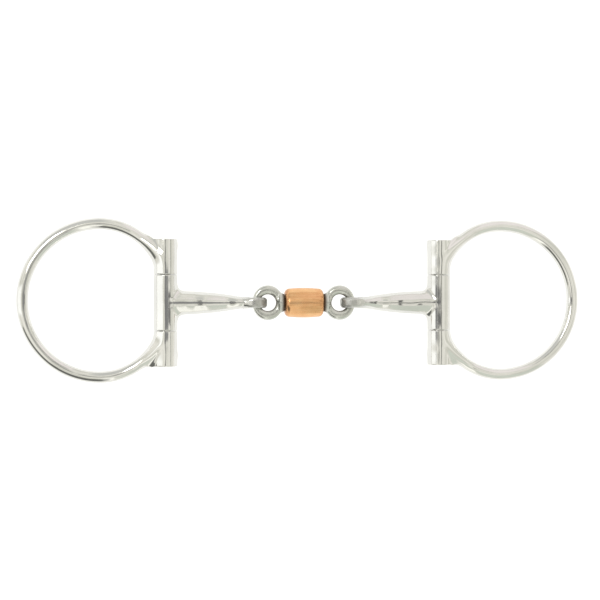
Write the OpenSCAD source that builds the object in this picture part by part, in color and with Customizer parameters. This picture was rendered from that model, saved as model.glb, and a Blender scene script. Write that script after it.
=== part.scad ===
// Dee-ring snaffle bit with a double-jointed mouthpiece and a roller centre link.
// The bit lies flat: X runs along the mouthpiece, Y along the two hinge barrels, Z out of the rings' plane.
// The origin is the centre of the roller.

/* [Cheek rings] */
// Thickness of the round bar that the ring is bent from
wire_d = 5.7; // [5:0.1:7]
// Outer height of the ring, along the hinge barrel
ring_h = 81.7; // [74:0.1:92]
// Distance from the hinge axis to the ring's far side
ring_reach = 73; // [66:0.5:80]
// How far the ring's centre sits above the middle of the hinge barrel
ring_rise = 1.2; // [0:0.1:2]
// Radius of the bar's tighter bend at the two shoulders, measured to the middle of the bar
shoulder_r = 31.5; // [31:0.5:33.5]
// Radius of the inner corners, where the ring meets the barrel
ring_corner_r = 10; // [8:0.5:12]

/* [Hinge barrels] */
// Outside diameter of the hinge barrel
barrel_d = 11.8; // [11:0.1:13]
// Full height of the barrel, over its three knuckles
barrel_h = 63.6; // [58:0.2:70]
// Height of the middle knuckle, which belongs to the mouthpiece
middle_h = 28.1; // [24:0.1:30]
// Diameter of the hinge pin
pin_d = 5; // [4:0.1:5.5]
// Chamfer round the ends of each knuckle
knuckle_chamfer = 0.35; // [0.2:0.05:0.6]

/* [Mouthpiece] */
// Width of the mouthpiece between the two barrels, the nominal size of the bit
mouth_w = 127; // [121:1:146]
// Diameter of the mouthpiece at its thick end
root_d = 11.4; // [10:0.1:11.5]
// Diameter of the mouthpiece where it meets its eye
neck_d = 5; // [4.6:0.1:5]
// Thickness of the eye along its hole
eye_t = 5.3; // [5.2:0.1:5.4]
// Diameter of the hole in the eye
eye_hole_d = 6; // [5.8:0.1:6.6]
// Width of the metal round the hole
eye_rim = 3.4; // [3.2:0.1:3.5]
// Radius of the fillet between mouthpiece and barrel
root_fillet_r = 3.2; // [2:0.2:5]

/* [Centre link] */
// Distance from the middle of the bit to the centre of each link ring
link_ring_x = 18.2; // [17.8:0.1:20]
// Diameter of the hole in a link ring
link_hole_d = 8.1; // [8:0.1:8.6]
// Thickness of a link ring where the mouthpiece hangs on it
link_wire_d = 3.8; // [3.6:0.1:3.9]
// Thickness of a link ring at its two shoulders
link_shoulder_d = 4.8; // [4.6:0.1:5]
// Diameter of the collar that the roller runs against
collar_d = 8.8; // [8:0.1:10]
// Diameter of the axle through the roller
axle_d = 5; // [4:0.1:6]

/* [Roller] */
// Length of the roller
roller_l = 19.5; // [16:0.1:20]
// Diameter of the roller
roller_d = 15; // [13:0.1:17]
// Radius of its rounded ends
roller_edge_r = 2.6; // [1.5:0.1:3.5]

/* [Hidden] */
$fn = 96;

// A shaft turns in its bore with this much room all round
running_gap = 0.08;
// Room along the axis between two parts that turn against each other
end_gap = 0.2;
// Solids that are joined reach this far into each other
sink = 0.5;

hinge_x = mouth_w / 2 + barrel_d / 2;
barrel_face_x = hinge_x + barrel_d / 2;

// The bar follows a half circle round the far side, a tighter arc over each shoulder, and then runs
// straight into the barrel; the angle is measured from the ring's far side
ring_r = (ring_h - wire_d) / 2;
ring_x = hinge_x + ring_reach - wire_d / 2 - ring_r;
shoulder_dy = ring_r - shoulder_r;
shoulder_end = 135;
root_l = (ring_x + shoulder_r * cos(shoulder_end) - hinge_x) / sin(shoulder_end);

// The inner corner is an arc that touches both the barrel's side and the inside of the shoulder
shoulder_inner_r = shoulder_r - wire_d / 2;
corner_dx = barrel_face_x + ring_corner_r - ring_x;
corner_dy = sqrt(pow(shoulder_inner_r - ring_corner_r, 2) - pow(corner_dx, 2));
corner_web_t = 5;
// Outside the corner, the web runs from the barrel's end to the bar's outer side at this angle, where
// it ends a little under the bar's surface
corner_fill_end = 128;
corner_fill_depth = 0.4;

end_h = (barrel_h - middle_h) / 2;

// The eye hangs on the link ring with this much slack
eye_slack = 0.3;
eye_mid_r = eye_hole_d / 2 + eye_rim / 2;
eye_x = link_ring_x + link_hole_d / 2 - eye_slack + eye_hole_d / 2;

// The mouthpiece tapers along one long arc, from taper_start_x to its neck
taper_start_x = mouth_w / 2 - 6;
neck_x = eye_x + eye_mid_r;
taper_l = taper_start_x - neck_x;
taper_drop = (root_d - neck_d) / 2;
taper_r = (pow(taper_l, 2) + pow(taper_drop, 2)) / (2 * taper_drop);
root_web_t = 6;

link_ring_r = (link_hole_d + link_wire_d) / 2;
link_shoulder_r = (link_hole_d + link_shoulder_d) / 2 - 0.06;
shoulder_span = 90;
collar_x = roller_l / 2 + 0.25;
collar_l = 2.5;
tenon_d = 3;
tenon_l = 2.6;

steel = [0.80, 0.80, 0.78];
pin_steel = [0.70, 0.70, 0.68];
copper = [0.80, 0.50, 0.32];

// One half of the bit is the other one's mirror image
module on_side(side) {
    mirror([side < 0 ? 1 : 0, 0, 0])
        children();
}

// An upright rod with a chamfer at both ends, centred on the origin and standing along Y
module chamfered_rod(d, h, chamfer) {
    r = d / 2;
    top = h / 2;
    rotate([90, 0, 0])
        rotate_extrude()
            polygon([
                [0, -top], [r - chamfer, -top], [r, -top + chamfer],
                [r, top - chamfer], [r - chamfer, top], [0, top]
            ]);
}

// A bore along Y through everything near the hinge axis
module hinge_bore(d) {
    translate([hinge_x, 0, 0])
        rotate([90, 0, 0])
            cylinder(d = d, h = barrel_h + 2, center = true);
}

// A stretch of the bent bar that starts on the X axis and turns round the origin
module bar_arc(r, angle) {
    rotate_extrude(angle = angle)
        translate([r, 0])
            circle(d = wire_d);
}

// The half circle round the far side
module ring_bow() {
    translate([ring_x, ring_rise, 0])
        rotate([0, 0, -90])
            bar_arc(ring_r, 180);
}

// The bar over one shoulder and straight into the barrel; up is 1 or -1
module ring_shoulder(up) {
    translate([ring_x, ring_rise, 0])
        mirror([0, up < 0 ? 1 : 0, 0])
            translate([0, shoulder_dy, 0]) {
                rotate([0, 0, 90])
                    bar_arc(shoulder_r, shoulder_end - 90);
                rotate([0, 0, shoulder_end])
                    translate([shoulder_r, 0, 0])
                        rotate([-90, 0, 0])
                            cylinder(d = wire_d, h = root_l);
            }
}

// The web that fills the corner between the bar and a knuckle; up is 1 or -1
module ring_corner(up) {
    tangent = atan2(corner_dy, corner_dx);
    inside_dx = hinge_x + pin_d / 2 - ring_x;
    face_dx = barrel_face_x - ring_x;
    end_dy = barrel_h / 2 - knuckle_chamfer - up * ring_rise - shoulder_dy;
    bar_side = shoulder_r + wire_d / 2 - corner_fill_depth;
    linear_extrude(height = corner_web_t, center = true)
        translate([ring_x, ring_rise])
            scale([1, up])
                translate([0, shoulder_dy])
                    difference() {
                        polygon([
                            [inside_dx, corner_dy],
                            [corner_dx, corner_dy],
                            [shoulder_r * cos(tangent), shoulder_r * sin(tangent)],
                            [bar_side * cos(corner_fill_end), bar_side * sin(corner_fill_end)],
                            [face_dx, end_dy],
                            [inside_dx, end_dy]
                        ]);
                        translate([corner_dx, corner_dy])
                            circle(r = ring_corner_r);
                    }
}

module end_knuckle(up) {
    translate([hinge_x, up * (middle_h + end_h) / 2, 0])
        chamfered_rod(barrel_d, end_h, knuckle_chamfer);
}

module cheek_ring(side) {
    color(steel)
        on_side(side)
            difference() {
                union() {
                    ring_bow();
                    for (up = [-1, 1]) {
                        end_knuckle(up);
                        ring_shoulder(up);
                        ring_corner(up);
                    }
                }
                hinge_bore(pin_d);
            }
}

// The pin is pressed into the two end knuckles and ground flush with them
module hinge_pin(side) {
    color(pin_steel)
        on_side(side)
            translate([hinge_x, 0, 0])
                rotate([90, 0, 0])
                    cylinder(d = pin_d, h = barrel_h, center = true);
}

// The tapering arm, turned about X
module mouthpiece_arm() {
    rotate([0, 90, 0])
        rotate_extrude()
            intersection() {
                translate([0, neck_x])
                    square([root_d, hinge_x - neck_x]);
                translate([root_d / 2 - taper_r, taper_start_x])
                    circle(r = taper_r, $fn = 720);
            }
}

// The fillet between the arm and the middle knuckle, above and below the arm
module root_fillets() {
    linear_extrude(height = root_web_t, center = true)
        for (up = [-1, 1])
            scale([1, up])
                translate([mouth_w / 2, root_d / 2])
                    difference() {
                        translate([-root_fillet_r, -sink])
                            square([root_fillet_r + 2, root_fillet_r + sink]);
                        translate([-root_fillet_r, root_fillet_r])
                            circle(r = root_fillet_r);
                    }
}

// The eye, with its hole along Y and well rounded edges
module mouthpiece_eye() {
    edge_r = eye_rim / 2;
    flat = eye_t - eye_rim;
    translate([eye_x, 0, 0])
        rotate([90, 0, 0])
            rotate_extrude()
                translate([eye_mid_r, 0])
                    union() {
                        square([eye_rim, flat], center = true);
                        for (up = [-1, 1])
                            translate([0, up * flat / 2])
                                circle(r = edge_r);
                    }
}

module mouthpiece(side) {
    color(steel)
        on_side(side)
            difference() {
                union() {
                    translate([hinge_x, 0, 0])
                        chamfered_rod(barrel_d, middle_h - 2 * end_gap, knuckle_chamfer);
                    mouthpiece_arm();
                    root_fillets();
                    mouthpiece_eye();
                }
                hinge_bore(pin_d + 2 * running_gap);
            }
}

// A link ring lies in the XY plane and is thicker at its two shoulders
module link_ring() {
    translate([link_ring_x, 0, 0]) {
        rotate_extrude()
            translate([link_ring_r, 0])
                circle(d = link_wire_d);
        for (up = [-1, 1])
            rotate([0, 0, up * 90 - shoulder_span / 2])
                rotate_extrude(angle = shoulder_span)
                    translate([link_shoulder_r, 0])
                        circle(d = link_shoulder_d);
    }
}

module link_collar() {
    translate([collar_x, 0, 0])
        rotate([0, 90, 0])
            cylinder(d = collar_d, h = collar_l);
}

// The left eye carries the axle, which ends in a tenon for the right eye
module link_left_eye() {
    color(steel)
        union() {
            on_side(-1) {
                link_ring();
                link_collar();
            }
            translate([-collar_x - sink, 0, 0])
                rotate([0, 90, 0])
                    cylinder(d = axle_d, h = 2 * collar_x + sink);
            translate([collar_x - sink, 0, 0])
                rotate([0, 90, 0])
                    cylinder(d = tenon_d, h = tenon_l + sink);
        }
}

module link_right_eye() {
    color(steel)
        difference() {
            union() {
                link_ring();
                link_collar();
            }
            translate([collar_x - sink, 0, 0])
                rotate([0, 90, 0])
                    cylinder(d = tenon_d, h = tenon_l + sink);
        }
}

// The roller is a short tube with well rounded ends, free to turn on the axle
module copper_roller() {
    bore_r = axle_d / 2 + running_gap;
    r = roller_d / 2;
    edge = roller_edge_r;
    half = roller_l / 2;
    color(copper)
        rotate([0, 90, 0])
            rotate_extrude()
                difference() {
                    union() {
                        translate([0, -half + edge])
                            square([r, roller_l - 2 * edge]);
                        translate([0, -half])
                            square([r - edge, roller_l]);
                        for (end = [-1, 1])
                            translate([r - edge, end * (half - edge)])
                                circle(r = edge);
                    }
                    translate([0, -half - 1])
                        square([bore_r, roller_l + 2]);
                }
}

cheek_ring(-1);  // left_cheek_ring
cheek_ring(1);  // right_cheek_ring
hinge_pin(-1);  // left_hinge_pin
hinge_pin(1);  // right_hinge_pin
mouthpiece(-1);  // left_mouthpiece
mouthpiece(1);  // right_mouthpiece
link_left_eye();
link_right_eye();
copper_roller();
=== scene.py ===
import math

import bpy
import numpy as np
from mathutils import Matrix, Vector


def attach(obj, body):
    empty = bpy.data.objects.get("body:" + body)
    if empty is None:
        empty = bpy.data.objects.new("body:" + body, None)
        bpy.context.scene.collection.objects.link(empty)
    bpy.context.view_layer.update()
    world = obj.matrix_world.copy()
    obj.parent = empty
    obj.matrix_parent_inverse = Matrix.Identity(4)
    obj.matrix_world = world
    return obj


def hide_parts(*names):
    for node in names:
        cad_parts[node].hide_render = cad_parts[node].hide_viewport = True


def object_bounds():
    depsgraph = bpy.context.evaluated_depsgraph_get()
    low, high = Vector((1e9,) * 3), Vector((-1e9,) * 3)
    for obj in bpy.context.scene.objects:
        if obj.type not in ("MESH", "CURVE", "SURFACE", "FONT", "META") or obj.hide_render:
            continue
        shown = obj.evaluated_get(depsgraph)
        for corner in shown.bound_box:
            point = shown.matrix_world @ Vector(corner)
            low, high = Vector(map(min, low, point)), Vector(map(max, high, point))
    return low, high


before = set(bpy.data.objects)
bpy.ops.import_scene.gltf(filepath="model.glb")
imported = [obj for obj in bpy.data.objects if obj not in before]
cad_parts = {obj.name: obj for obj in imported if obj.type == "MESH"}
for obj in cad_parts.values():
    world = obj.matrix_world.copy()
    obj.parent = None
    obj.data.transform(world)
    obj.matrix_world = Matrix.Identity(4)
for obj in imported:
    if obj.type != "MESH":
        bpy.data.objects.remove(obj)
cad_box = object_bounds()

MM = 0.001

# ---------------------------------------------------------------- sizes, mm
# The right half is described; the left one is its mirror image.
HINGE_X = 69.4
BARREL_R = 5.9
BARREL_HALF = 31.8
MIDDLE_HALF = 13.85
SEAM_Y = 14.05
RING_X = 101.55
RING_Y = 1.2
RING_R = 38.0
BAR_R = 2.85
SHOULDER_R = 31.5
SHOULDER_RISE = RING_R - SHOULDER_R
SHOULDER_INNER_R = SHOULDER_R - BAR_R
CORNER_R = 10.0
CORNER_X = HINGE_X + BARREL_R + CORNER_R
CORNER_ANGLE = math.acos((RING_X - CORNER_X) / (SHOULDER_INNER_R - CORNER_R))
CORNER_RISE = SHOULDER_RISE + (RING_X - CORNER_X) * math.tan(CORNER_ANGLE)
PIN_R = 2.5
EYE_X = 24.95
LINK_X = 18.2
LINK_HOLE_R = 4.05
ROLLER_HALF = 9.75
ROLLER_R = 7.5
RIM = 0.36
FLOOR_DROP = 140


# ------------------------------------------------------------------- camera
def add_camera():
    """A camera 0.7 m over the bit, 7 degrees towards its left ring and turned a little clockwise."""
    distance, yaw, roll, view_width = 0.700, 0.1228, -0.0010, 0.3024
    data = bpy.data.cameras.new("camera")
    data.sensor_width = 36
    data.lens = 36 * distance / view_width
    data.shift_x = -0.0063
    data.shift_y = 0.0044
    data.clip_start = 0.01
    camera = bpy.data.objects.new("camera", data)
    side = -distance * math.sin(yaw)
    camera.location = (side * math.cos(roll), side * math.sin(roll), distance * math.cos(yaw))
    camera.rotation_euler = (0, -yaw, roll)
    bpy.context.scene.collection.objects.link(camera)
    bpy.context.scene.camera = camera


add_camera()
bpy.context.scene.view_settings.view_transform = "Standard"


# ----------------------------------------------------- shapes, as distances
def soft_min(a, b, k):
    """The nearer of two surfaces, with a fillet about k wide where they meet."""
    h = np.maximum(k - np.abs(a - b), 0) / np.maximum(k, 1e-6)
    return np.minimum(a, b) - h * h * h * k / 6


def soft_max(a, b, k):
    return -soft_min(-a, -b, k)


def smooth(t):
    t = np.clip(t, 0, 1)
    return t * t * (3 - 2 * t)


def rod(radius, along, r, half, edge):
    """A round rod from its radial and axial coordinates, with rounded rims."""
    q = radius - (r - edge)
    w = np.abs(along) - (half - edge)
    return np.hypot(np.maximum(q, 0), np.maximum(w, 0)) + np.minimum(np.maximum(q, w), 0) - edge


def bar_section(offset, z, path):
    """The bar in section, path mm from the barrel that it grows out of: it narrows before it thins."""
    width = BAR_R + (BARREL_R - BAR_R) * smooth(1 - path / 17)
    depth = BAR_R + (BARREL_R - BAR_R) * smooth(1 - path / 22)
    return np.hypot(offset - width, z * width / depth) - width


def cheek_shape(x, y, z):
    """Ring bar, which swells at both ends into the hinge knuckles, bored for the pin."""
    dx, dy = x - RING_X, np.abs(y - RING_Y)
    bow = np.hypot(np.hypot(dx, dy) - RING_R, z) - BAR_R
    # Over the shoulder and round the corner the bar keeps its inner side on two arcs that touch
    sy = dy - SHOULDER_RISE
    lean = np.arctan2(-dx, sy)
    joint = math.pi / 2 - CORNER_ANGLE
    path = CORNER_ANGLE * CORNER_R + (joint - lean) * SHOULDER_INNER_R
    shoulder = bar_section(np.hypot(dx, sy) - SHOULDER_INNER_R, z, path)
    cx, cy = x - CORNER_X, dy - CORNER_RISE
    turn = np.arctan2(cy, -cx)
    corner = bar_section(np.hypot(cx, cy) - CORNER_R, z, turn * CORNER_R)
    corner = np.where((turn >= 0) & (cy >= 0), corner, 50.0)
    bar = np.where(dx > 0, bow, np.where(lean < joint, shoulder, corner))
    knuckle_mid = (BARREL_HALF + SEAM_Y) / 2
    knuckle_half = (BARREL_HALF - SEAM_Y) / 2
    radius = np.hypot(x - HINGE_X, z)
    knuckle = rod(radius, np.abs(y) - knuckle_mid, BARREL_R, knuckle_half, RIM)
    # The outer corner is filled with a web that is thinner than the bar
    web = smooth((dy - 22) / 6) * smooth((4.8 - np.abs(z)) / 3.8)
    fillet = smooth((dy - CORNER_RISE) / 8) + 9.0 * web
    d = soft_min(bar, knuckle, fillet)
    d = soft_max(d, np.abs(y) - BARREL_HALF - 0.8 * np.maximum(x - HINGE_X - BARREL_R, 0), 2 * RIM)
    d = np.maximum(d, SEAM_Y - np.abs(y) - 40 * (x > RING_X - 20))
    return soft_max(d, PIN_R + 0.04 - radius, 0.3)


def mouthpiece_shape(x, y, z):
    """Middle knuckle, tapering arm and the eye that hangs on the link."""
    radius = np.hypot(x - HINGE_X, z)
    barrel = rod(radius, y, BARREL_R, MIDDLE_HALF, RIM)
    out = np.clip(63.5 - x, 0, 34)
    arm_r = 5.85 - 3.2 * (out / 33.4) ** 2
    # The arm is a little flattened at its root, and keeps its depth towards the eye while it narrows
    depth = arm_r - 0.8 * smooth((x - 42) / 14) + 2.0 * smooth((40 - x) / 10)
    arm = np.hypot(y, z * arm_r / depth) - arm_r
    arm = soft_max(arm, 28.8 - x, 0.6)
    arm = np.maximum(arm, x - HINGE_X)
    across = np.abs(np.hypot(x - EYE_X, z) - 4.7) - 0.05
    along = np.abs(y) - 1.0
    eye = np.hypot(np.maximum(across, 0), np.maximum(along, 0))
    eye = eye + np.minimum(np.maximum(across, along), 0) - 1.65
    fillet = 6.5 - 5.0 * smooth((np.abs(z) - 0.5) / 4.5)
    d = soft_min(soft_min(barrel, arm, fillet), eye, 2.4)
    return soft_max(d, PIN_R + 0.08 - radius, 0.3)


def link_ring_shape(x, y, z):
    """A link ring, thicker at its shoulders, with its collar."""
    cx = x - LINK_X
    radius = np.hypot(cx, y)
    c = cx / np.maximum(radius, 1e-6)
    half = 2.35 * (1 - c * c) + c * c * (1.91 - 0.04 * c)
    depth = 1.95 + 0.45 * (1 - c * c)
    u = np.abs(radius - LINK_HOLE_R - half) / half
    v = np.abs(z) / depth
    ring = ((u ** 2.5 + v ** 2.5) ** 0.4 - 1) * half
    collar = rod(np.hypot(y, z), x - 11.3, 4.4, 1.3, 0.4)
    hole = LINK_HOLE_R - radius
    bead = np.sqrt((x - 13.2) ** 2 + (y - 1.6) ** 2 + (z - 1.3) ** 2) - 1.25
    d = soft_min(soft_min(ring, collar, 2.2), bead, 0.9)
    return soft_max(d, hole, 0.7)


def link_axle_shape(x, y, z):
    """The mirror-image ring with the axle that carries the roller."""
    axle = rod(np.hypot(y, z), x, 2.5, 10.0, 0.2)
    return np.minimum(link_ring_shape(-x, y, z), axle)


# ------------------------------------------------------------ mesh building
def slope(shape, p, eps=0.01):
    g = np.empty_like(p)
    for i in range(3):
        step = np.zeros(3)
        step[i] = eps
        g[:, i] = shape(*(p + step).T) - shape(*(p - step).T)
    return g / (2 * eps)


def mesh_shape(shape, low, high, pitch):
    """A closed quad mesh of a shape's surface: one vertex for each grid cell that the surface crosses."""
    axes = [np.arange(a - pitch * 1.5, b + pitch * 2.5, pitch) for a, b in zip(low, high)]
    values = shape(*np.meshgrid(*axes, indexing="ij"))
    inside = values < 0
    cell_shape = tuple(n - 1 for n in inside.shape)
    total = np.zeros(cell_shape)
    centre = np.zeros(cell_shape + (3,))
    corners = [(i, j, k) for i in (0, 1) for j in (0, 1) for k in (0, 1)]

    def at(array, corner):
        return array[tuple(slice(c, c + n) for c, n in zip(corner, cell_shape))]

    for a in corners:
        for axis in range(3):
            if a[axis]:
                continue
            b = tuple(1 if i == axis else c for i, c in enumerate(a))
            va, vb = at(values, a), at(values, b)
            crosses = at(inside, a) != at(inside, b)
            part = np.where(crosses, va / np.where(crosses, va - vb, 1), 0)
            total += crosses
            for i in range(3):
                centre[..., i] += crosses * (part if i == axis else a[i])
    cells = total > 0
    index = np.full(cell_shape, -1)
    index[cells] = np.arange(cells.sum())
    origin = np.array([ax[0] for ax in axes])
    points = origin + pitch * (np.argwhere(cells) + centre[cells] / total[cells][:, None])
    for _ in range(4):
        g = slope(shape, points)
        step = shape(*points.T)[:, None] * g / np.maximum((g * g).sum(1), 0.05)[:, None]
        points = points - np.clip(step, -pitch / 2, pitch / 2)
    faces = []
    for axis in range(3):
        order = (axis, (axis + 1) % 3, (axis + 2) % 3)
        s, n = inside.transpose(order), index.transpose(order)
        first = s[:-1, 1:-1, 1:-1]
        i, j, k = np.nonzero(first != s[1:, 1:-1, 1:-1])
        quad = np.stack([n[i, j, k], n[i, j + 1, k], n[i, j + 1, k + 1], n[i, j, k + 1]], 1)
        outward = first[i, j, k]
        faces.append(np.where(outward[:, None], quad, quad[:, ::-1]))
    normals = slope(shape, points)
    normals /= np.maximum(np.linalg.norm(normals, axis=1), 1e-9)[:, None]
    return points, np.concatenate(faces), normals


def mirrored(surface):
    points, faces, normals = surface
    flip = np.array([-1, 1, 1])
    return points * flip, faces[:, ::-1], normals * flip


def lathe(profile, axis, segments=128):
    """A closed ring mesh turned from a closed (radius, along) profile about X or Y."""
    profile = np.array(profile)
    angles = np.arange(segments) * 2 * math.pi / segments
    r, along = profile[:, 0], profile[:, 1]
    n = len(profile)
    first = np.cos(angles)[:, None] * r
    second = np.sin(angles)[:, None] * r
    middle = np.broadcast_to(along, (segments, n))
    points = np.stack([middle, first, second] if axis == "X" else [second, middle, first], -1)
    s, i = np.meshgrid(np.arange(segments), np.arange(n), indexing="ij")
    t, j = (s + 1) % segments, (i + 1) % n
    faces = np.stack([s * n + i, s * n + j, t * n + j, t * n + i], -1).reshape(-1, 4)
    return points.reshape(-1, 3), faces


def add_piece(name, points, faces, normals=None):
    mesh = bpy.data.meshes.new(name)
    mesh.from_pydata((points * MM).tolist(), [], faces.tolist())
    mesh.validate()
    mesh.polygons.foreach_set("use_smooth", np.ones(len(mesh.polygons), bool))
    if normals is not None:
        mesh.normals_split_custom_set_from_vertices(normals.tolist())
    mesh.update()
    piece = bpy.data.objects.new(name, mesh)
    bpy.context.scene.collection.objects.link(piece)
    return piece


def finish_piece(piece, body, node, material):
    piece.data.materials.append(material)
    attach(piece, body)
    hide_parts(node)


# ---------------------------------------------------------------- materials
class Nodes:
    """Short calls for building one material's node tree."""

    def __init__(self, name):
        self.material = bpy.data.materials.new(name)
        self.material.use_nodes = True
        self.tree = self.material.node_tree
        self.tree.nodes.clear()
        self.shader = self.add("ShaderNodeBsdfPrincipled")
        output = self.add("ShaderNodeOutputMaterial")
        self.join(self.shader.outputs["BSDF"], output.inputs["Surface"])

    def add(self, kind, **settings):
        node = self.tree.nodes.new(kind)
        for key, value in settings.items():
            setattr(node, key, value)
        return node

    def join(self, a, b):
        self.tree.links.new(a, b)

    def coordinates(self, scale, move=(0, 0, 0)):
        source = self.add("ShaderNodeTexCoord")
        mapping = self.add("ShaderNodeMapping")
        mapping.inputs["Scale"].default_value = scale
        mapping.inputs["Location"].default_value = move
        self.join(source.outputs["Object"], mapping.inputs["Vector"])
        return mapping.outputs["Vector"]

    def place(self):
        """How far a point is from the part's middle along X, and its Y, in metres."""
        split = self.add("ShaderNodeSeparateXYZ")
        self.join(self.coordinates((1, 1, 1)), split.inputs["Vector"])
        return self.calc("ABSOLUTE", split.outputs["X"], 0), split.outputs["Y"]

    def noise(self, vector, scale, detail=4.0, rough=0.5):
        node = self.add("ShaderNodeTexNoise")
        node.inputs["Scale"].default_value = scale
        node.inputs["Detail"].default_value = detail
        node.inputs["Roughness"].default_value = rough
        self.join(vector, node.inputs["Vector"])
        return node.outputs["Fac"]

    def spread(self, value, low, high, out_low, out_high):
        node = self.add("ShaderNodeMapRange")
        sockets = ("From Min", "From Max", "To Min", "To Max")
        for socket, number in zip(sockets, (low, high, out_low, out_high)):
            node.inputs[socket].default_value = number
        self.join(value, node.inputs["Value"])
        return node.outputs["Result"]

    def ramp(self, value, stops):
        node = self.add("ShaderNodeValToRGB")
        elements = node.color_ramp.elements
        while len(elements) < len(stops):
            elements.new(0.5)
        for element, (place, colour) in zip(elements, stops):
            element.position = place
            element.color = (*colour, 1)
        self.join(value, node.inputs["Fac"])
        return node.outputs["Color"]

    def calc(self, operation, a, b):
        node = self.add("ShaderNodeMath", operation=operation)
        for socket, value in zip(node.inputs, (a, b)):
            if isinstance(value, (int, float)):
                socket.default_value = value
            else:
                self.join(value, socket)
        return node.outputs[0]

    def mix(self, factor, colour, other):
        node = self.add("ShaderNodeMix", data_type="RGBA")
        self.join(factor, node.inputs[0])
        self.join(colour, node.inputs[6])
        node.inputs[7].default_value = (*other, 1)
        return node.outputs[2]

    def bump(self, height, depth, strength=1.0, under=None):
        node = self.add("ShaderNodeBump")
        node.inputs["Distance"].default_value = depth
        node.inputs["Strength"].default_value = strength
        self.join(height, node.inputs["Height"])
        if under is not None:
            self.join(under, node.inputs["Normal"])
        return node.outputs["Normal"]


# The default dark tone is painted shade, tinted brown as a painted reflection of the copper roller.
def polished_steel(name, tone, rough, wave, dull=None, painted_shade_tone=(0.13, 0.085, 0.055), swell=None):
    """Buffed stainless steel: slow waves of hand polishing, hairline scratches and faint smears.
    Where the function dull gives 1, the colour is painted dark as shade, and the steel is rougher.
    The function swell gives the height of the waves from place to place."""
    m = Nodes(name)
    m.shader.inputs["Metallic"].default_value = 1.0
    m.shader.inputs["Specular IOR Level"].default_value = 0.5
    object_space = m.coordinates((1, 1, 1))
    smear = m.noise(object_space, 90, 3, 0.55)
    cloud = m.noise(object_space, 260, 5, 0.6)
    dark = tuple(c * 0.93 for c in tone)
    colour = m.ramp(smear, [(0.32, dark), (0.62, tone)])
    # Painted shade: where dull gives 1, the colour is mixed towards a dark tone.
    painted_shade = dull(m) if dull else None
    if painted_shade:
        colour = m.mix(painted_shade, colour, painted_shade_tone)
    m.join(colour, m.shader.inputs["Base Color"])
    hair_a = m.noise(m.coordinates((40, 2600, 2600)), 1, 2, 0.5)
    hair_b = m.noise(m.coordinates((2300, 55, 2300), (0.3, 0.1, 0.2)), 1, 2, 0.5)
    scratch = m.calc("MAXIMUM", m.spread(hair_a, 0.66, 0.74, 0, 1), m.spread(hair_b, 0.67, 0.75, 0, 1))
    gloss = m.spread(cloud, 0.3, 0.72, rough * 0.6, rough * 1.5)
    if painted_shade:
        gloss = m.calc("ADD", gloss, m.calc("MULTIPLY", painted_shade, 0.6))
    m.join(m.calc("ADD", gloss, m.calc("MULTIPLY", scratch, 0.07)), m.shader.inputs["Roughness"])
    waves = m.calc("SUBTRACT", m.noise(object_space, 75, 1, 0.4), 0.5)
    if swell:
        waves = m.calc("MULTIPLY", waves, swell(m))
    slow = m.bump(waves, wave)
    fine = m.bump(m.calc("SUBTRACT", cloud, m.calc("MULTIPLY", scratch, 0.6)), 0.000004, 0.6, slow)
    m.join(fine, m.shader.inputs["Normal"])
    return m.material


def link_crevice_shade(m):
    """Painted shade: 1 inside the link rings' holes and on their collars, 0 elsewhere."""
    x, y = m.place()
    across = m.calc("SUBTRACT", x, LINK_X * MM)
    squares = m.calc("ADD", m.calc("MULTIPLY", across, across), m.calc("MULTIPLY", y, y))
    radius = m.calc("SQRT", squares, 0)
    hole = m.spread(radius, 0.00405, 0.0048, 0.85, 0)
    collar = m.spread(x, 0.0104, 0.0117, 0.9, 0)
    return m.calc("MAXIMUM", hole, collar)


def arm_waves(m):
    """Full waves on the hand-finished arms, low ones on the turned hinge barrels."""
    return m.spread(m.place()[0], 0.060, 0.066, 1.0, 0.35)


def eye_tip_shade(m):
    """1 towards the tips of the two forged mouthpiece eyes: painted shade where they sit in the link
    holes, broken into patches by noise.
    """
    x = m.place()[0]
    patches = m.noise(m.coordinates((1, 1, 1)), 420, 3, 0.6)
    near = m.spread(x, 0.0205, 0.0345, 0.75, 0)
    return m.calc("MULTIPLY", near, m.spread(patches, 0.35, 0.65, 0.45, 1.0))


def ground_steel():
    """Pin ends left by the grinding wheel: parallel marks across the face."""
    m = Nodes("ground_steel")
    m.shader.inputs["Metallic"].default_value = 1.0
    m.shader.inputs["Anisotropic"].default_value = 0.4
    marks = m.noise(m.coordinates((120, 500, 5200)), 1, 4, 0.6)
    colour = m.ramp(marks, [(0.3, (0.50, 0.50, 0.48)), (0.7, (0.72, 0.71, 0.68))])
    m.join(colour, m.shader.inputs["Base Color"])
    m.join(m.spread(marks, 0.3, 0.7, 0.24, 0.42), m.shader.inputs["Roughness"])
    m.join(m.bump(marks, 0.00002, 0.7), m.shader.inputs["Normal"])
    return m.material


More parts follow.
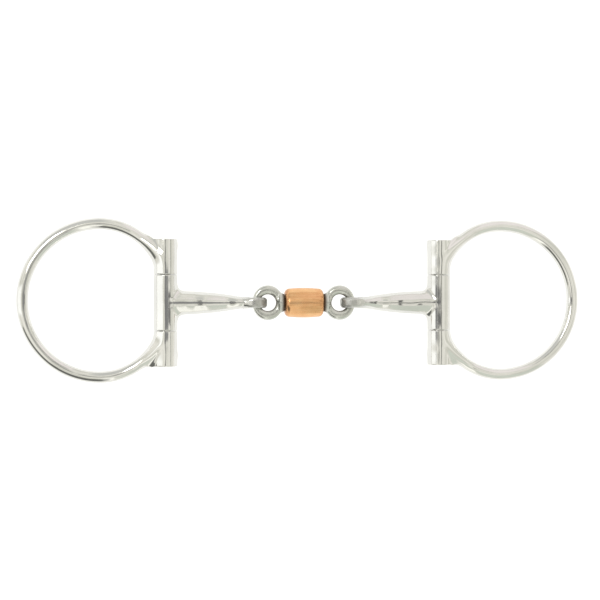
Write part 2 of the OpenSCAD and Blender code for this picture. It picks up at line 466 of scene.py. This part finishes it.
def satin_copper():
    """Copper turned on a lathe and rubbed along its length, darker towards the ends."""
    m = Nodes("satin_copper")
    m.shader.inputs["Metallic"].default_value = 1.0
    along = m.noise(m.coordinates((45, 1500, 1500)), 1, 5, 0.65)
    cloud = m.noise(m.coordinates((1, 1, 1)), 210, 4, 0.55)
    # The roller's colour is darker towards its ends.
    end = m.spread(m.place()[0], 0.0072, 0.0100, 0, 0.55)
    tone = m.calc("ADD", m.calc("MULTIPLY", along, 0.55), m.calc("MULTIPLY", cloud, 0.45))
    tone = m.calc("SUBTRACT", tone, m.calc("MULTIPLY", end, 0.45))
    darkest, dull, bright = (0.46, 0.21, 0.10), (0.84, 0.46, 0.22), (0.93, 0.58, 0.30)
    colour = m.ramp(tone, [(0.18, darkest), (0.42, dull), (0.62, bright)])
    m.join(colour, m.shader.inputs["Base Color"])
    m.join(m.spread(along, 0.3, 0.7, 0.20, 0.36), m.shader.inputs["Roughness"])
    soft = m.bump(m.noise(m.coordinates((1, 1, 1)), 120, 2, 0.4), 0.00012)
    m.join(m.bump(along, 0.000012, 0.8, soft), m.shader.inputs["Normal"])
    return m.material


steel = polished_steel("polished_steel", (0.86, 0.86, 0.83), 0.085, 0.0005)
# The tips of the mouthpiece eyes get painted shade in a dark grey tone.
forged_steel = polished_steel("forged_steel", (0.84, 0.84, 0.81), 0.10, 0.0013,
                              eye_tip_shade, (0.22, 0.22, 0.205), arm_waves)
# The link's holes and collars get painted shade.
link_steel = polished_steel("tumbled_steel", (0.68, 0.69, 0.645), 0.25, 0.0009, link_crevice_shade)
pin_steel = ground_steel()
copper = satin_copper()


# ------------------------------------------------------------------- pieces
cheek = mesh_shape(cheek_shape, (63.5, -39.7, -5.9), (142.4, 42.1, 5.9), 0.36)
arm = mesh_shape(mouthpiece_shape, (18.5, -13.9, -6.6), (75.3, 13.9, 6.6), 0.30)
for side, make in (("left", mirrored), ("right", tuple)):
    ring = add_piece(side + "_cheek_ring_skin", *make(cheek))
    finish_piece(ring, side + "_cheek", side + "_cheek_ring", steel)
    mouth = add_piece(side + "_mouthpiece_skin", *make(arm))
    finish_piece(mouth, side + "_mouthpiece", side + "_mouthpiece", forged_steel)

right_eye_surface = mesh_shape(link_ring_shape, (10, -8.8, -4.4), (26.1, 8.8, 4.4), 0.22)
right_eye = add_piece("link_right_eye_skin", *right_eye_surface)
finish_piece(right_eye, "link", "link_right_eye", link_steel)
left_eye_surface = mesh_shape(link_axle_shape, (-26.1, -8.8, -4.4), (10, 8.8, 4.4), 0.22)
left_eye = add_piece("link_left_eye_skin", *left_eye_surface)
finish_piece(left_eye, "link", "link_left_eye", link_steel)


def roller_profile():
    """Half section of the roller: a slightly crowned tube with well rounded ends."""
    points = []
    edge = 2.5
    end_r = ROLLER_R - 0.35
    for i in range(13):
        a = math.pi / 2 * i / 12
        points.append((end_r - edge + edge * math.sin(a), -ROLLER_HALF + edge - edge * math.cos(a)))
    for i in range(1, 24):
        x = -ROLLER_HALF + edge + (2 * ROLLER_HALF - 2 * edge) * i / 24
        t = x / (ROLLER_HALF - edge)
        points.append((ROLLER_R - 0.35 * t * t, x))
    for i in range(13):
        a = math.pi / 2 * i / 12
        points.append((end_r - edge + edge * math.cos(a), ROLLER_HALF - edge + edge * math.sin(a)))
    bore = 2.58
    lip = 0.3
    points += [(3.6, ROLLER_HALF), (bore + lip, ROLLER_HALF), (bore, ROLLER_HALF - lip)]
    points += [(bore, x) for x in (6, 2, -2, -6)]
    points += [(bore, -ROLLER_HALF + lip), (bore + lip, -ROLLER_HALF), (3.6, -ROLLER_HALF)]
    return points


roller_points, roller_faces = lathe(roller_profile(), "X")
roller = add_piece("copper_roller_skin", roller_points, roller_faces)
finish_piece(roller, "roller", "copper_roller", copper)


def rivet_profile():
    """Half section of the pin, its ends slightly peened and ground flush."""
    edge = 0.3
    points = [(0.02, -BARREL_HALF), (1.2, -BARREL_HALF)]
    for i in range(7):
        a = math.pi / 2 * i / 6
        points.append((PIN_R - edge + edge * math.sin(a), -BARREL_HALF + edge - edge * math.cos(a)))
    points += [(PIN_R, y) for y in (-20, -10, 0, 10, 20)]
    for i in range(7):
        a = math.pi / 2 * i / 6
        points.append((PIN_R - edge + edge * math.cos(a), BARREL_HALF - edge + edge * math.sin(a)))
    points += [(1.2, BARREL_HALF), (0.02, BARREL_HALF)]
    return points


for side, sign in (("left", -1), ("right", 1)):
    pin_points, pin_faces = lathe(rivet_profile(), "Y", 64)
    pin_points = pin_points + np.array([sign * HINGE_X, 0, 0])
    pin = add_piece(side + "_hinge_pin_skin", pin_points, pin_faces)
    finish_piece(pin, side + "_cheek", side + "_hinge_pin", pin_steel)


# ---------------------------------------------------------- floor and light
def glow(name, colour, strength):
    material = bpy.data.materials.new(name)
    material.use_nodes = True
    tree = material.node_tree
    tree.nodes.clear()
    emission = tree.nodes.new("ShaderNodeEmission")
    emission.inputs["Color"].default_value = (*colour, 1)
    emission.inputs["Strength"].default_value = strength
    output = tree.nodes.new("ShaderNodeOutputMaterial")
    tree.links.new(emission.outputs[0], output.inputs["Surface"])
    return material


def floor_material():
    """A white floor that glows, so that it stays white to the camera; the steel sees it dimmer."""
    material = glow("white_table", (1, 1, 1), 0.62)
    tree = material.node_tree
    emission = next(n for n in tree.nodes if n.type == "EMISSION")
    output = next(n for n in tree.nodes if n.type == "OUTPUT_MATERIAL")
    rays = tree.nodes.new("ShaderNodeLightPath")
    lift = tree.nodes.new("ShaderNodeMapRange")
    lift.inputs["To Min"].default_value = 0.62
    lift.inputs["To Max"].default_value = 0.74
    tree.links.new(rays.outputs["Is Camera Ray"], lift.inputs["Value"])
    tree.links.new(lift.outputs["Result"], emission.inputs["Strength"])
    matt = tree.nodes.new("ShaderNodeBsdfDiffuse")
    matt.inputs["Color"].default_value = (0.5, 0.5, 0.5, 1)
    both = tree.nodes.new("ShaderNodeAddShader")
    tree.links.new(emission.outputs[0], both.inputs[0])
    tree.links.new(matt.outputs[0], both.inputs[1])
    tree.links.new(both.outputs[0], output.inputs["Surface"])
    return material


# The floor is low enough for the joints' lowest poses, which hang 113 mm under the bit
floor_z = cad_box[0][2] - FLOOR_DROP * MM
floor_corners = [(-3, -3, floor_z), (3, -3, floor_z), (3, 3, floor_z), (-3, 3, floor_z)]
floor = bpy.data.objects.new("floor", bpy.data.meshes.new("floor"))
floor.data.from_pydata(floor_corners, [], [(0, 1, 2, 3)])
floor.data.materials.append(floor_material())
bpy.context.scene.collection.objects.link(floor)


def card(name, corners, colour, strength, soft_u=0.15, soft_v=0.15, round_off=False):
    """A tent panel that fades out towards its edges and isn't seen by the camera itself."""
    n = 40
    t = np.linspace(0, 1, n + 1)
    u, v = np.meshgrid(t, t, indexing="ij")
    a, b, c, d = (np.array(corner, float) for corner in corners)
    u3, v3 = u[..., None], v[..., None]
    points = (a * (1 - u3) + b * u3) * (1 - v3) + (d * (1 - u3) + c * u3) * v3
    cover = smooth(np.minimum(u, 1 - u) / soft_u) * smooth(np.minimum(v, 1 - v) / soft_v)
    if round_off:
        cover = smooth((1 - np.hypot(2 * u - 1, 2 * v - 1)) / soft_u)
    i, j = np.meshgrid(np.arange(n), np.arange(n), indexing="ij")
    k = i * (n + 1) + j
    faces = np.stack([k, k + n + 1, k + n + 2, k + 1], -1).reshape(-1, 4)
    mesh = bpy.data.meshes.new(name)
    mesh.from_pydata(points.reshape(-1, 3).tolist(), [], faces.tolist())
    attribute = mesh.attributes.new("cover", "FLOAT", "POINT")
    attribute.data.foreach_set("value", cover.ravel().astype(np.float32))
    mesh.materials.append(fading_glow(name, colour, strength))
    panel = bpy.data.objects.new(name, mesh)
    bpy.context.scene.collection.objects.link(panel)
    panel.visible_camera = False
    panel.visible_shadow = False
    return panel


def fading_glow(name, colour, strength):
    material = glow(name, colour, strength)
    tree = material.node_tree
    emission = next(n for n in tree.nodes if n.type == "EMISSION")
    output = next(n for n in tree.nodes if n.type == "OUTPUT_MATERIAL")
    cover = tree.nodes.new("ShaderNodeAttribute")
    cover.attribute_name = "cover"
    clear = tree.nodes.new("ShaderNodeBsdfTransparent")
    mix = tree.nodes.new("ShaderNodeMixShader")
    tree.links.new(cover.outputs["Fac"], mix.inputs["Fac"])
    tree.links.new(clear.outputs[0], mix.inputs[1])
    tree.links.new(emission.outputs[0], mix.inputs[2])
    tree.links.new(mix.outputs[0], output.inputs["Surface"])
    return material


def wall(name, start, end, low, start_high, end_high, colour, strength, **soft):
    corners = [(*start, low), (*end, low), (*end, end_high), (*start, start_high)]
    return card(name, corners, colour, strength, **soft)


def ceiling(name, x0, x1, y0, y1, z, colour, strength, **soft):
    corners = [(x0, y0, z), (x1, y0, z), (x1, y1, z), (x0, y1, z)]
    return card(name, corners, colour, strength, **soft)


wall("white_side", (-0.55, -0.09), (-0.55, 0.09), -0.04, 1.0, 1.0, (1, 1, 0.98), 1.22,
     soft_u=0.35, soft_v=0.05)
wall("front_left", (-0.130, -0.50), (0.02, -0.50), -0.05, 1.0, 1.0, (1, 0.99, 0.93), 1.16, soft_u=0.15)
wall("front_right", (0.0, -0.50), (0.70, -0.50), -0.05, 1.0, 1.0, (0.84, 0.88, 0.79), 0.80)
wall("back_left", (-0.70, 0.50), (0.0, 0.50), -0.05, 1.0, 1.0, (0.80, 0.80, 0.77), 0.78)
wall("back_right", (0.0, 0.50), (0.70, 0.50), -0.05, 1.0, 1.0, (0.98, 0.93, 0.91), 0.93)
wall("open_front", (-0.06, -0.36), (-0.95, -0.30), -0.02, 0.38, 0.48, (0.9, 0.92, 0.85), 0.18,
     soft_u=0.06, soft_v=0.10)
ceiling("lens_hood", -0.105, 0.012, -0.034, 0.030, 0.160, (1, 1, 1), 0.26, soft_u=0.15, soft_v=0.3)
ceiling("camera_strap", -0.005, 0.102, -0.016, 0.014, 0.160, (1, 1, 1), 0.15, soft_u=0.15, soft_v=0.4)
ceiling("stand_left", -0.076, -0.060, -0.080, 0.080, 0.160, (1, 1, 1), 0.12, soft_u=0.2, soft_v=0.1)
ceiling("stand_right", 0.094, 0.116, -0.080, 0.080, 0.160, (1, 1, 1), 0.12, soft_u=0.2, soft_v=0.1)
ceiling("camera_body", -0.175, 0.005, -0.09, 0.09, 0.690, (1, 1, 0.95), 0.30, soft_u=0.4, round_off=True)


def add_world():
    """The tent: soft warm grey in every reflection, and a white backdrop."""
    world = bpy.data.worlds.new("tent")
    bpy.context.scene.world = world
    world.use_nodes = True
    tree = world.node_tree
    tree.nodes.clear()
    tent = tree.nodes.new("ShaderNodeBackground")
    place = tree.nodes.new("ShaderNodeTexCoord")
    folds = tree.nodes.new("ShaderNodeTexNoise")
    folds.inputs["Scale"].default_value = 3.2
    folds.inputs["Detail"].default_value = 2.0
    shade = tree.nodes.new("ShaderNodeValToRGB")
    shade.color_ramp.elements[0].position = 0.36
    shade.color_ramp.elements[0].color = (0.66, 0.655, 0.585, 1)
    shade.color_ramp.elements[1].position = 0.62
    shade.color_ramp.elements[1].color = (0.93, 0.91, 0.85, 1)
    tree.links.new(place.outputs["Generated"], folds.inputs["Vector"])
    tree.links.new(folds.outputs["Fac"], shade.inputs["Fac"])
    tree.links.new(shade.outputs["Color"], tent.inputs["Color"])
    white = tree.nodes.new("ShaderNodeBackground")
    white.inputs["Color"].default_value = (1, 1, 1, 1)
    rays = tree.nodes.new("ShaderNodeLightPath")
    mix = tree.nodes.new("ShaderNodeMixShader")
    output = tree.nodes.new("ShaderNodeOutputWorld")
    tree.links.new(rays.outputs["Is Camera Ray"], mix.inputs["Fac"])
    tree.links.new(tent.outputs[0], mix.inputs[1])
    tree.links.new(white.outputs[0], mix.inputs[2])
    tree.links.new(mix.outputs[0], output.inputs["Surface"])


add_world()


def add_softbox(name, place, size, energy):
    data = bpy.data.lights.new(name, "AREA")
    data.shape = "SQUARE"
    data.size = size
    data.energy = energy
    data.color = (1.0, 0.985, 0.96)
    lamp = bpy.data.objects.new(name, data)
    bpy.context.scene.collection.objects.link(lamp)
    lamp.location = place
    aim = -lamp.location
    lamp.rotation_euler = aim.to_track_quat("-Z", "Y").to_euler()
    lamp.visible_camera = False


add_softbox("key", (-0.45, 0.30, 0.85), 0.30, 1.2)
